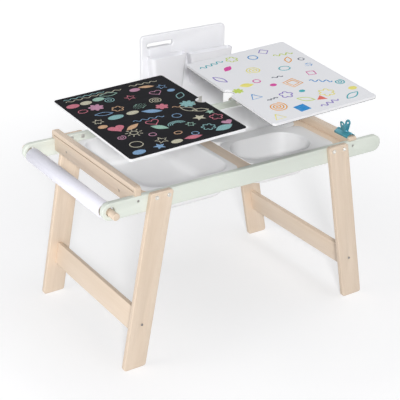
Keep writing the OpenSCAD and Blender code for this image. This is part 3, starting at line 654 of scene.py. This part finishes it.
def hand_out(tree, given, shape):
    """Makes a shape of a tree real, gives it the finish and hands it out."""
    real, finish, result = (tree.nodes.new(kind) for kind in (
        "GeometryNodeRealizeInstances", "GeometryNodeSetMaterial", "NodeGroupOutput"))
    tree.links.new(shape, real.inputs[0])
    tree.links.new(real.outputs[0], finish.inputs[0])
    tree.links.new(given.outputs["Finish"], finish.inputs["Material"])
    tree.links.new(finish.outputs[0], result.inputs[0])


def stroke_tree():
    """Turns drawn lines into low ribbons with closed ends."""
    tree = new_tree("drawn_strokes", "Strokes", Lines="Geometry", Width="Float", Lift="Float",
                    Finish="Material")
    given, to_curve, half, thin, squeeze, flat = (tree.nodes.new(kind) for kind in (
        "NodeGroupInput", "GeometryNodeMeshToCurve", "ShaderNodeMath", "ShaderNodeMath",
        "ShaderNodeCombineXYZ", "GeometryNodeTransform"))
    half.operation, thin.operation = "MULTIPLY", "DIVIDE"
    half.inputs[1].default_value = 0.5
    squeeze.inputs["X"].default_value = squeeze.inputs["Y"].default_value = 1.0
    link = tree.links.new
    link(given.outputs["Lines"], to_curve.inputs[0])
    link(given.outputs["Width"], half.inputs[0])
    link(given.outputs["Lift"], thin.inputs[0])
    link(half.outputs[0], thin.inputs[1])
    link(thin.outputs[0], squeeze.inputs["Z"])
    link(squeeze.outputs[0], flat.inputs["Scale"])
    link(swept(tree, to_curve.outputs[0], half.outputs[0], STROKE_SIDES), flat.inputs[0])
    hand_out(tree, given, flat.outputs[0])
    return tree


def from_nodes(holder, tree, **values):
    """The mesh that a tree makes of an object, its inputs given by name."""
    changes = holder.modifiers.new("nodes", "NODES")
    changes.node_group = tree
    for item in tree.interface.items_tree:
        if item.in_out == "INPUT" and item.name in values:
            changes[item.identifier] = values[item.name]
    mesh = bpy.data.meshes.new_from_object(
        holder.evaluated_get(bpy.context.evaluated_depsgraph_get()))
    holder.modifiers.clear()
    return mesh


def lay_on_lid(mesh, node):
    """Moves a flat drawing from its own plane onto the top of a lid's sheet."""
    middle, across, back, normal = lid_frame(node)
    place = Matrix((across, back, normal)).transposed().to_4x4()
    place.translation = middle
    mesh.transform(place)


def draw(name, node, body, finish, width, lines):
    """Strokes along lines given in metres from a lid's middle."""
    mesh = bpy.data.meshes.new(name)
    points, edges = [], []
    for line in lines:
        edges += [(len(points) + i, len(points) + i + 1) for i in range(len(line) - 1)]
        points += [(x, y, 0.0) for x, y in line]
    mesh.from_pydata(points, edges, [])
    piece = new_piece(name, mesh)
    piece.data = from_nodes(piece, strokes, Width=width, Lift=STROKE_LIFT, Finish=finish)
    piece.data.name = name
    lay_on_lid(piece.data, node)
    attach(piece, body)


def fill(name, node, body, finish, shapes):
    """Low patches inside closed lines given in metres from a lid's middle."""
    work = bmesh.new()
    for shape in shapes:
        points = shape[:-1] if math.dist(shape[0], shape[-1]) < SKIN_WELD else shape
        face = work.faces.new([work.verts.new((x, y, -STROKE_LIFT / 2)) for x, y in points])
        face.normal_update()
        if face.normal.z > 0:
            face.normal_flip()
        raised = bmesh.ops.extrude_face_region(work, geom=[face])
        for v in raised["geom"]:
            if isinstance(v, bmesh.types.BMVert):
                v.co.z = STROKE_LIFT
    bmesh.ops.recalc_face_normals(work, faces=work.faces)
    mesh = bpy.data.meshes.new(name)
    work.to_mesh(mesh)
    work.free()
    mesh.materials.append(finish)
    piece = new_piece(name, mesh)
    lay_on_lid(mesh, node)
    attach(piece, body)


def mark(stick, node, body, finishes, width, outlines, patches):
    """Draws a lid's outlines and patches, given by colour in millimetres."""
    mm = 0.001
    for colour, groups in outlines.items():
        draw(f"{stick}_lines_{colour}", node, body, finishes[colour], width,
             [[(x * mm, y * mm) for x, y in line] for group in groups for line in group])
    for colour, shapes in patches.items():
        fill(f"{stick}_patches_{colour}", node, body, finishes[colour],
             [[(x * mm, y * mm) for x, y in shape] for shape in shapes])


strokes = stroke_tree()
CHALK_WIDTH = 0.0028
CRAYON_WIDTH = 0.0040
# For each stick: the sheet's colour in its specks, and how well it covers
ON_CHALK_SHEET = ((0.02, 0.02, 0.022), 0.60)
ON_WHITE_SHEET = ((0.80, 0.80, 0.83), 0.72)
chalk = {n: stick_finish("chalk_" + n, v, *ON_CHALK_SHEET) for n, v in CHALKS.items()}
crayon = {n: stick_finish("crayon_" + n, v, *ON_WHITE_SHEET) for n, v in CRAYONS.items()}

# Chalk marks by colour: outlines, then filled patches
CHALK_LINES = {
    "cream": [round_line(-128, -160, 18), star(-60, -176, 19), wave(-150, 206, 30, 204, 4, 7),
              leaf(112, -40, 55, 24, -60), leaf(136, -64, 48, 20, -25), spiral(70, 70, 20, 2.6),
              rays(-96, -92, 16, 25, 9), round_line(-96, -92, 11), wave(60, 208, 150, 200, 4, 4),
              star(-140, 30, 16, 6, 0.55)],
    "aqua": [flower(90, -176, 20, 7), wave(-150, 222, -20, 218, 3, 6), spiral(-40, 150, 19, 2.4),
             [arc(30, -110, 26 - 6 * i, 20 - 5 * i, 0, 180) for i in range(3)],
             leaf(146, 60, 48, 22, 50)],
    "rose": [heart(-18, -60, 19), flower(146, -130, 19, 5), round_line(-140, 120, 14, 0.8),
             star(20, 132, 17, 5)],
    "sky": [wave(-60, -26, 30, -40, 5, 4), round_line(60, -60, 13), round_line(38, -190, 10),
            star(138, 150, 17, 5), leaf(-100, 70, 53, 22, -15)],
    "pink": [heart(100, 120, 18), round_line(-60, -130, 10), spiral(-140, -100, 14, 2.2)],
    "peach": [wave(80, -4, 150, -14, 5, 3), flower(-50, 80, 18, 6), round_line(2, -160, 11, 0.8)],
    "mint": [hatch(10, 60, 48, 31, 9), star(60, -132, 14, 6, 0.5), leaf(-20, 190, 55, 24, -10)],
}
CHALK_FILLS = {
    "aqua": [leaf(122, -204, 62, 31, 10)[0], flower(130, -6, 24, 8)[0], arc(-84, 30, 24, 14, 0, 345)],
    "rose": [heart(-120, -40, 24)[0], leaf(20, -208, 53, 22, -8)[0], flower(60, 20, 20, 6)[0],
             arc(-146, 170, 20, 14, 0, 345)],
    "cream": [arc(-30, -206, 17, 11, 0, 345), arc(-104, 170, 18, 13, 0, 345), star(104, -108, 20)[0],
              arc(-30, 30, 19, 12, 0, 345)],
    "sky": [arc(-146, -206, 19, 13, 0, 345), star(-84, -206, 18)[0], leaf(20, 8, 60, 24, -30)[0],
            arc(146, 110, 12, 10, 0, 345)],
    "pink": [flower(-96, 124, 23, 7)[0], arc(60, 174, 17, 12, 0, 345), heart(150, -178, 16)[0]],
    "peach": [leaf(-80, -56, 55, 20, 25)[0], arc(-146, -8, 14, 11, 0, 345), leaf(100, 176, 50, 18, -20)[0]],
    "mint": [arc(-62, 174, 18, 13, 0, 345), leaf(-20, -100, 53, 24, -50)[0], star(150, -92, 14)[0]],
}
mark("chalk", "lid_left_chalk_sheet", "left_lid", chalk, CHALK_WIDTH,
     CHALK_LINES, CHALK_FILLS)

# Crayon marks by colour on the white sheet
CRAYON_LINES = {
    "blue": [wave(72, -54, 128, -92, 7, 3), polygon(-128, -62, 20, 3), round_line(30, 176, 15),
             hatch(144, 42, 30, 20, 8)],
    "orange": [spiral(-112, -148, 28, 3.2), polygon(22, -40, 30, 4, 60), polygon(22, -40, 19, 4, 60),
               leaf(112, 104, 44, 20, 60)],
    "yellow": [polygon(-148, -204, 20, 3), flower(64, -146, 24, 6), spiral(-24, 94, 24, 2.6)],
    "violet": [wave(-4, -212, 62, -198, 7, 3), flower(-44, -96, 20, 5), polygon(84, 196, 18, 4),
               leaf(-148, 92, 54, 21, -70)],
    "magenta": [polygon(112, -12, 17, 4, 30), round_line(-62, 26, 11)],
    "teal": [leaf(116, -200, 58, 23, 20), wave(-152, 190, -66, 204, 7, 4),
             round_line(64, 58, 18, 0.8), spiral(142, -108, 17, 2.2)],
    "lime": [leaf(-14, -150, 52, 23, -40), wave(92, 152, 156, 142, 7, 3), flower(-34, 198, 19, 6)],
    "slate": [wave(-112, -100, -76, -96, 3, 3), round_line(150, 88, 9), wave(-10, 20, 26, 16, 4, 2)],
}
CRAYON_FILLS = {
    "blue": [polygon(-58, -190, 26, 4, 50)[0]],
    "yellow": [arc(148, -162, 14, 11, 0, 345), leaf(-104, 18, 46, 26, -15)[0]],
    "magenta": [leaf(-84, 146, 44, 22, 35)[0], arc(-36, -22, 11, 9, 0, 345)],
    "coral": [polygon(28, -168, 18, 3, 70)[0]],
    "lime": [flower(-148, -2, 17, 7)[0]],
    "teal": [arc(10, -100, 10, 8, 0, 345)],
}
mark("crayon", "lid_right_white_sheet", "right_lid", crayon, CRAYON_WIDTH,
     CRAYON_LINES, CRAYON_FILLS)

# ---- Paper roll -------------------------------------------------------------
# A roll of plain drawing paper wound on a cardboard tube that hangs on a loose
# birch rod, which sticks out at both rails.
paper_white, shader, place = new_finish("paper_white")
set_shader(shader, Base_Color=place.mottled(160.0, (0.79, 0.785, 0.86), (0.83, 0.825, 0.90), 4.0),
           Roughness=0.8, Normal=place.noise(500.0, 3.0).relief(0.00008, 0.6))
PAPER_OUT = 0.024
PAPER_IN = 0.019
PAPER_STEP = 0.0005
PAPER_EASE = 0.0006
ROLL_SIDES = 120
# Where the paper's free edge lies, in degrees from the top
FREE_EDGE_AT = -60
ROD_EASE = 0.0022
low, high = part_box("roll_paper")
middle_x, middle_z = (low.x + high.x) / 2, (low.z + high.z) / 2
angles = [math.radians(360 * i / ROLL_SIDES + FREE_EDGE_AT) for i in range(ROLL_SIDES + 1)]
# One turn of the outermost layer, whose free edge leaves a small step
outline = [(PAPER_OUT - PAPER_STEP * (1 - i / ROLL_SIDES), a) for i, a in enumerate(angles)]


def wound(shift, y):
    """The outline of the wound layers at y, drawn in by shift at its edge."""
    return [(middle_x + (r - shift) * math.sin(a), y, middle_z + (r - shift) * math.cos(a))
            for r, a in outline]


def bore(y):
    """The inside of the wound layers at y."""
    return [(middle_x + PAPER_IN * math.sin(a), y, middle_z + PAPER_IN * math.cos(a))
            for a in angles]


rings = [bore(low.y), wound(PAPER_EASE, low.y), wound(0.0, low.y + PAPER_EASE),
         wound(0.0, high.y - PAPER_EASE), wound(PAPER_EASE, high.y), bore(high.y)]
roll = lofted("roll_paper_wound", rings, paper_white, caps=False)
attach(roll, "roll")
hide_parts("roll_paper")
card_brown, shader, place = new_finish("card_brown")
set_shader(shader, Base_Color=place.mottled(220.0, (0.36, 0.26, 0.17), (0.50, 0.38, 0.27), 4.0),
           Roughness=0.85, Normal=place.noise(500.0, 3.0).relief(0.0001, 0.6))
nodes["roll_core"].material_slots[0].material = card_brown
rod = eased("roll_rod", "roll_rod_birch", ROD_EASE, birch("roll_rod", Y_AXIS, X_AXIS, False))
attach(rod, "rod")

# ---- Storage panel ----------------------------------------------------------
# A thick moulded panel in cool white that hangs outside the back rail by two
# bent steel hooks, with a cup and a box hooked into its slots.
PANEL_EASE = 0.0035
HOLDER_EASE = 0.0008
HOOK_EASE = 0.0008
panel_white, shader, place = new_finish("panel_white")
grain = place.noise(650.0, 2.0)
set_shader(shader, Base_Color=place.mottled(8.0, (0.835, 0.835, 0.862), (0.865, 0.865, 0.892)),
           Roughness=0.5 + 0.1 * grain, Normal=grain.relief(0.00008, 0.6))
panel = eased("storage_panel", "storage_panel_moulded", PANEL_EASE, panel_white, steps=4)
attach(panel, "panel")

holder_white, shader, place = new_finish("holder_white")
set_shader(shader, Base_Color=place.mottled(9.0, (0.800, 0.800, 0.828), (0.830, 0.830, 0.858)),
           Roughness=0.34 + 0.1 * place.noise(60.0), Normal=place.noise(40.0).relief(0.0004, 0.2))
for node, body in (("storage_cup", "cup"), ("storage_box", "box")):
    holder = eased(node, node + "_moulded", HOLDER_EASE, holder_white)
    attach(holder, body)

zinc, shader, place = new_finish("zinc")
set_shader(shader, Base_Color=place.mottled(120.0, (0.62, 0.61, 0.58), (0.74, 0.73, 0.70)),
           Metallic=0.92, Roughness=0.34 + 0.12 * place.noise(300.0))
hooks = eased("panel_hooks", "panel_hooks_bent", HOOK_EASE, zinc)
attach(hooks, "panel")

# ---- Fasteners --------------------------------------------------------------
# Bolts with a hexagon socket and screws with a cross recess, of zinc plated
# steel. One of each kind is modelled along Z with its head's face at 0, and
# nodes set it out at the places and along the axes of the plain solids.
# Screws sunk in the wood take a darker copy of the zinc, painted shade of their countersinks
zinc_painted_shade, shader, place = new_finish("zinc_painted_shade")
set_shader(shader, Base_Color=place.mottled(120.0, (0.30, 0.29, 0.28), (0.42, 0.41, 0.39)),
           Metallic=0.95, Roughness=0.34 + 0.12 * place.noise(300.0))
HEAD_EASE = 0.0005
NUT_EASE = 0.0003
HEAD_SIDES = 48
# Points beyond this share of a fastener's greatest radius belong to its head
HEAD_SHARE = 0.9
# Half the width of a cross recess's arms, and a recess's bottom, over its reach
ARM_SHARE = 0.24
BOTTOM_SHARE = 0.85
# What is cut away halfway round an eased edge, over the edge's radius
EDGE_SHARE = 0.3


def solids(node):
    """The head's end, the way the head faces and the length of each solid of a node."""
    work = bmesh.new()
    work.from_mesh(nodes[node].data)
    bmesh.ops.remove_doubles(work, verts=work.verts, dist=WELD)
    reached, found = set(), []
    for start in work.verts:
        if start in reached:
            continue
        group, edge = set(), {start}
        while edge:
            group |= edge
            edge = {e.other_vert(v) for v in edge for e in v.link_edges} - group
        reached |= group
        points = [v.co.copy() for v in group]
        low = Vector([min(p[i] for p in points) for i in range(3)])
        high = Vector([max(p[i] for p in points) for i in range(3)])
        size, middle = high - low, (low + high) / 2
        i = max(range(3), key=lambda k: size[k])
        axis = Vector([k == i for k in range(3)])
        off = [(p - middle) - axis * (p - middle)[i] for p in points]
        wide = max(o.length for o in off)
        outer = [p[i] for p, o in zip(points, off) if o.length > HEAD_SHARE * wide]
        facing = axis if sum(outer) / len(outer) > middle[i] else -axis
        found.append((middle + facing * size[i] / 2, facing, size[i]))
    work.free()
    return found


def hexagon(a, r):
    """How far a hexagon of width 2 r reaches at an angle in degrees."""
    return r / math.cos(math.radians((a % 60) - 30))


def cross(a, r):
    """The same for a cross with arms of reach r."""
    a = math.radians((a + 45) % 90 - 45)
    return min(r, ARM_SHARE * r / max(abs(math.sin(a)), 1e-6))


def headed(name, head_r, head_h, shank_r, length, recess, recess_r, depth):
    """A bolt or screw along Z with the outer face of its head at 0."""

    def ring(r, z, shape=None):
        angles = [360 * i / HEAD_SIDES for i in range(HEAD_SIDES)]
        reach = [shape(a, r) if shape else r for a in angles]
        return [(q * math.cos(math.radians(a)), q * math.sin(math.radians(a)), z)
                for q, a in zip(reach, angles)]

    bent = EDGE_SHARE * HEAD_EASE
    rings = [ring(BOTTOM_SHARE * recess_r, -depth, recess), ring(recess_r, 0.0, recess),
             ring(head_r - HEAD_EASE, 0.0), ring(head_r - bent, -bent),
             ring(head_r, -HEAD_EASE), ring(head_r, -head_h), ring(shank_r, -head_h),
             ring(shank_r, HEAD_EASE - length), ring(shank_r - HEAD_EASE, -length)]
    return lofted(name, rings, zinc)


def set_out_tree():
    """Sets an object out on points, each turned by the points' facing."""
    tree = new_tree("set_out", "Set", Points="Geometry", Model="Object", Finish="Material")
    given, model, facing, turned, placed = (tree.nodes.new(kind) for kind in (
        "NodeGroupInput", "GeometryNodeObjectInfo", "GeometryNodeInputNamedAttribute",
        "FunctionNodeAlignRotationToVector", "GeometryNodeInstanceOnPoints"))
    facing.data_type = "FLOAT_VECTOR"
    facing.inputs["Name"].default_value = "facing"
    turned.axis = "Z"
    link = tree.links.new
    link(given.outputs["Model"], model.inputs["Object"])
    link(next(o for o in facing.outputs if o.enabled), turned.inputs["Vector"])
    link(given.outputs["Points"], placed.inputs["Points"])
    link(model.outputs["Geometry"], placed.inputs["Instance"])
    link(turned.outputs["Rotation"], placed.inputs["Rotation"])
    hand_out(tree, given, placed.outputs[0])
    return tree


set_out = set_out_tree()
WOOD_SCREW = ((0.0038, 0.0022, 0.002), (cross, 0.0027, 0.0016))
# Each kind: its body, finish, head radius and height, shank radius, and its
# recess with radius and depth
FASTENERS = {
    "leg_bolts": ("table", zinc, (0.006, 0.004, 0.003), (hexagon, 0.0030, 0.0026)),
    "stretcher_screws": ("table", zinc_painted_shade, *WOOD_SCREW),
    "board_screws": ("table", zinc_painted_shade, *WOOD_SCREW),
    "ledge_screws": ("table", zinc_painted_shade, *WOOD_SCREW),
    "hook_screws": ("panel", zinc, *WOOD_SCREW),
}
for node, (body, finish, (head_r, head_h, shank_r),
           (recess, recess_r, depth)) in FASTENERS.items():
    found = solids(node)
    model = headed(node + "_one", head_r, head_h, shank_r, min(length for _, _, length in found),
                   recess, recess_r, depth)
    mesh = bpy.data.meshes.new(node + "_places")
    mesh.from_pydata([tuple(at) for at, _, _ in found], [], [])
    way = mesh.attributes.new("facing", "FLOAT_VECTOR", "POINT")
    for i, (_, facing, _) in enumerate(found):
        way.data[i].vector = facing
    piece = new_piece(node + "_turned", mesh)
    piece.data = from_nodes(piece, set_out, Model=model, Finish=finish)
    piece.data.name = node + "_turned"
    bpy.data.objects.remove(model)
    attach(piece, body)
    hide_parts(node)
nuts = eased("leg_nuts", "leg_nuts_turned", NUT_EASE, zinc, steps=2)
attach(nuts, "table")

# ---- Clip -------------------------------------------------------------------
# A wide spring clip of bent sheet steel in glossy teal that grips the right end
# board, where it can hold a sheet: two jaws on a pin, each with a holed handle.
CLIP_EASE = 0.0003
clip_teal, shader, place = new_finish("clip_teal")
set_shader(shader, Base_Color=place.mottled(90.0, (0.060, 0.320, 0.410), (0.090, 0.400, 0.500)),
           Roughness=0.24, Coat_Weight=0.6, Coat_Roughness=0.06, Metallic=0.4)
for node, body in (("clip_outer_jaw", "table"), ("clip_inner_jaw", "clip_jaw")):
    jaw = eased(node, node + "_enamelled", CLIP_EASE, clip_teal, steps=2)
    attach(jaw, body)

# The pin and the wire spring wound round it are light blue, partly their own colour and partly a painted
# highlight along the clip's barrel
clip_blue_and_highlight, shader, place = new_finish("clip_blue_and_highlight")
set_shader(shader, Base_Color=place.mottled(150.0, (0.22, 0.52, 0.72), (0.30, 0.62, 0.82)),
           Roughness=0.3, Coat_Weight=0.4)
nodes["clip_pin"].material_slots[0].material = clip_blue_and_highlight
SPRING_WIRE = 0.0003
SPRING_CLEAR = 1.1 * SPRING_WIRE
SPRING_TURNS = 22.0
STEPS_PER_TURN = 24
WIRE_SIDES = 8


def coil_tree():
    """Winds a wire into a coil that rises along Z from 0."""
    tree = new_tree("wound_wire", "Spring", Radius="Float", Wire="Float", Turns="Float",
                    Length="Float", Finish="Material")
    given, helix = tree.nodes.new("NodeGroupInput"), tree.nodes.new("GeometryNodeCurveSpiral")
    helix.inputs["Resolution"].default_value = STEPS_PER_TURN
    for value, of_helix in (("Turns", "Rotations"), ("Radius", "Start Radius"),
                            ("Radius", "End Radius"), ("Length", "Height")):
        tree.links.new(given.outputs[value], helix.inputs[of_helix])
    hand_out(tree, given, swept(tree, helix.outputs[0], given.outputs["Wire"], WIRE_SIDES))
    return tree


low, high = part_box("clip_spring")
spring = new_piece("clip_spring_wound", bpy.data.meshes.new("clip_spring_wound"))
mesh = from_nodes(spring, coil_tree(), Radius=(high.z - low.z) / 2 - SPRING_CLEAR,
                  Wire=SPRING_WIRE, Turns=SPRING_TURNS,
                  Length=high.y - low.y - 2 * SPRING_CLEAR, Finish=clip_blue_and_highlight)
mesh.transform(Matrix.Translation(((low.x + high.x) / 2, high.y - SPRING_CLEAR,
                                   (low.z + high.z) / 2)) @ Matrix.Rotation(math.pi / 2, 4, "X"))
spring.data = mesh
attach(spring, "table")
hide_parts("clip_spring")
